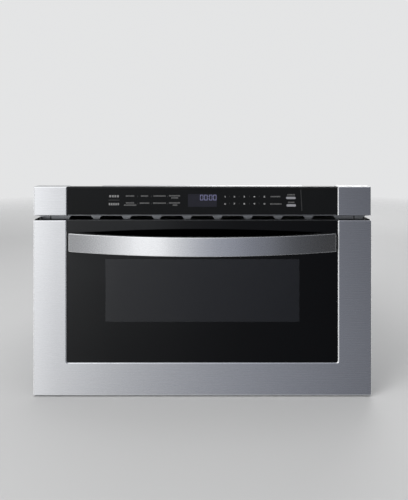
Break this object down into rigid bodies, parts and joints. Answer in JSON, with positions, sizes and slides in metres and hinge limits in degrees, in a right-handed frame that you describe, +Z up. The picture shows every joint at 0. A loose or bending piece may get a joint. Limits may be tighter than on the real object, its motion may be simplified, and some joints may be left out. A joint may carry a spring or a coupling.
{
  "type": "microwave drawer",
  "caption": "Built-in drawer microwave oven: steel-framed black glass drawer with a bowed bar handle, a touch control strip above and a motor-driven food tub on slides.",
  "frame": {"origin": "middle of the footprint, handle included, on the surface that the oven stands on", "axes": "+X to the right as seen from the front, +Y back into the cabinet, +Z up; the drawer opens along -Y"},
  "size_m": [0.606, 0.6244, 0.3765],
  "materials": {
    "stainless": "brushed",
    "handle_steel": "brushed",
    "black_glass": "gloss",
    "clear_glass": "gloss",
    "ceramic": "satin",
    "black_plastic": "matte",
    "duct_plastic": "matte",
    "gear_plastic": "satin",
    "passivated_zinc": "satin",
    "cavity_enamel": "satin",
    "black_enamel": "satin",
    "galvanised": "satin",
    "zinc_steel": "satin",
    "bronze": "satin",
    "core_iron": "matte",
    "motor_metal": "satin",
    "fan_aluminium": "satin",
    "circuit_board": "satin",
    "display": "gloss",
    "mica": "satin"
  },
  "bodies": {
    "chassis": {"base_plate": "galvanised", "side_panel_left": "galvanised", "side_panel_right": "galvanised", "top_cover": "galvanised", "rear_panel": "galvanised", "front_plate": "passivated_zinc", "case_screws": "zinc_steel", "cord_grommet": "black_plastic", "cavity_shell": "cavity_enamel", "cavity_floor": "cavity_enamel", "cavity_rear": "cavity_enamel", "exhaust_duct": "galvanised", "vent_grille": "passivated_zinc", "fascia_end_caps": "stainless", "control_glass": "black_glass", "control_housing": "black_plastic", "display_module": "display", "control_board": "circuit_board", "waveguide": "galvanised", "magnetron": "fan_aluminium", "stirrer_cover": "mica", "stirrer_motor": "motor_metal", "fan_housing": "duct_plastic", "fan_motor": "core_iron", "hv_transformer": "core_iron", "hv_capacitor": "fan_aluminium", "oven_lamp": "zinc_steel", "power_board": "circuit_board", "interlock_switches": "black_plastic", "drive_motor": "motor_metal", "drive_bracket": "zinc_steel", "drive_bushes": "bronze", "rack_guide": "gear_plastic", "slide_outer_left": "zinc_steel", "slide_outer_right": "zinc_steel"},
    "drawer": {"front_panel": "stainless", "door_glass": "black_glass", "door_frame": "black_plastic", "door_pan": "black_enamel", "window_screen": "black_enamel", "inner_window": "clear_glass", "choke_cover": "black_plastic", "handle": "handle_steel", "handle_screws": "zinc_steel", "food_tub": "stainless", "ceramic_floor": "ceramic", "drawer_arms": "zinc_steel", "latch_hooks": "gear_plastic", "drawer_rack": "gear_plastic", "slide_inner_left": "zinc_steel", "slide_inner_right": "zinc_steel"},
    "left_middle_slide": {"slide_middle_left": "zinc_steel"},
    "right_middle_slide": {"slide_middle_right": "zinc_steel"},
    "outer_cages": {"ball_cages_outer": "zinc_steel"},
    "inner_cages": {"ball_cages_inner": "zinc_steel"},
    "rack_shaft": {"drive_shaft": "zinc_steel", "drive_gear": "gear_plastic"},
    "motor_shaft": {"motor_pinion": "zinc_steel"},
    "cooling_fan": {"fan_blade": "black_plastic"},
    "wave_stirrer": {"stirrer": "fan_aluminium"}
  },
  "joints": [
    {"name": "drawer_slide", "type": "slide", "parent": "chassis", "child": "drawer", "axis": [0, -1, 0], "range_m": [0, 0.38]},
    {"name": "left_middle_slide_run", "type": "slide", "parent": "chassis", "child": "left_middle_slide", "axis": [0, -1, 0], "range_m": [0, 0.19]},
    {"name": "right_middle_slide_run", "type": "slide", "parent": "chassis", "child": "right_middle_slide", "axis": [0, -1, 0], "range_m": [0, 0.19]},
    {"name": "outer_cages_run", "type": "slide", "parent": "chassis", "child": "outer_cages", "axis": [0, -1, 0], "range_m": [0, 0.095]},
    {"name": "inner_cages_run", "type": "slide", "parent": "chassis", "child": "inner_cages", "axis": [0, -1, 0], "range_m": [0, 0.285]},
    {"name": "rack_shaft_turn", "type": "hinge", "parent": "chassis", "child": "rack_shaft", "pos_m": [0.142, -0.18775, 0.028], "axis": [1, 0, 0], "range_deg": [-2, 1558]},
    {"name": "motor_shaft_turn", "type": "hinge", "parent": "chassis", "child": "motor_shaft", "pos_m": [0.13, -0.1565, 0.028], "axis": [1, 0, 0], "range_deg": [-4002, 2]},
    {"name": "cooling_fan_spin", "type": "hinge", "parent": "chassis", "child": "cooling_fan", "pos_m": [-0.138, 0.2506, 0.1057], "axis": [1, 0, 0], "continuous": true},
    {"name": "wave_stirrer_spin", "type": "hinge", "parent": "chassis", "child": "wave_stirrer", "pos_m": [0, -0.0194, 0.0687], "axis": [0, 0, 1], "continuous": true}
  ],
  "couplings": [
    {"joint": "left_middle_slide_run", "follows": "drawer_slide", "ratio": 0.5},
    {"joint": "right_middle_slide_run", "follows": "drawer_slide", "ratio": 0.5},
    {"joint": "outer_cages_run", "follows": "drawer_slide", "ratio": 0.25},
    {"joint": "inner_cages_run", "follows": "drawer_slide", "ratio": 0.75},
    {"joint": "rack_shaft_turn", "follows": "drawer_slide", "rad_per_m": 71.429},
    {"joint": "motor_shaft_turn", "follows": "drawer_slide", "rad_per_m": -183.67}
  ]
}
